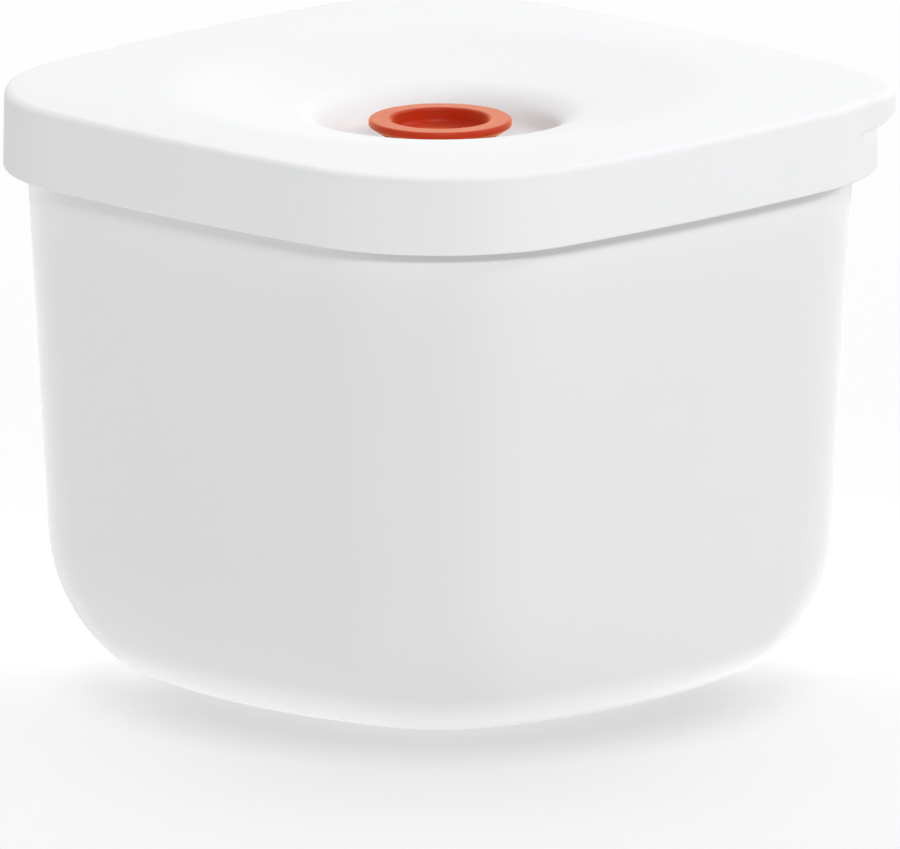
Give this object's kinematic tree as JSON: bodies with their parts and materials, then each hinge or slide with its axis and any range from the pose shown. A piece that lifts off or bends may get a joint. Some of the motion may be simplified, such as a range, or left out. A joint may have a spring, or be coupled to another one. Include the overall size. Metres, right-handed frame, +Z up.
{
  "type": "vacuum seal canister",
  "caption": "Soft-square food storage tub with a press-on lid, a ring seal and a pull-up release valve in a round well for drawing the air out.",
  "frame": {"origin": "middle of the tub's base, on the surface that it stands on", "axes": "+Z up through the valve; X and Y square to the flat sides; the lid's pull lip is on the +X +Y corner"},
  "size_m": [0.168, 0.168, 0.1346],
  "materials": {
    "tub": "milky, lets some light through, satin to gloss",
    "lid": "fine satin white",
    "gasket": "pale soft silicone",
    "button": "orange-red soft silicone, satin",
    "stem": "plain moulded",
    "flap": "pale soft silicone",
    "spring": "drawn stainless wire",
    "clip": "plain moulded"
  },
  "bodies": {
    "tub": {"tub": "tub"},
    "lid": {"lid": "lid", "lid_gasket": "gasket", "valve_spring": "spring"},
    "valve": {"valve_button": "button", "valve_stem": "stem", "valve_flap": "flap", "valve_clip": "clip"}
  },
  "joints": [
    {"name": "lid_lift", "type": "slide", "parent": "tub", "child": "lid", "axis": [0, 0, 1], "range_m": [0, 0.1]},
    {"name": "valve_lift", "type": "slide", "parent": "lid", "child": "valve", "axis": [0, 0, 1], "range_m": [0, 0.003], "stiffness_N_per_m": 500, "springref_m": -0.003, "deforming": ["valve_spring"]}
  ]
}
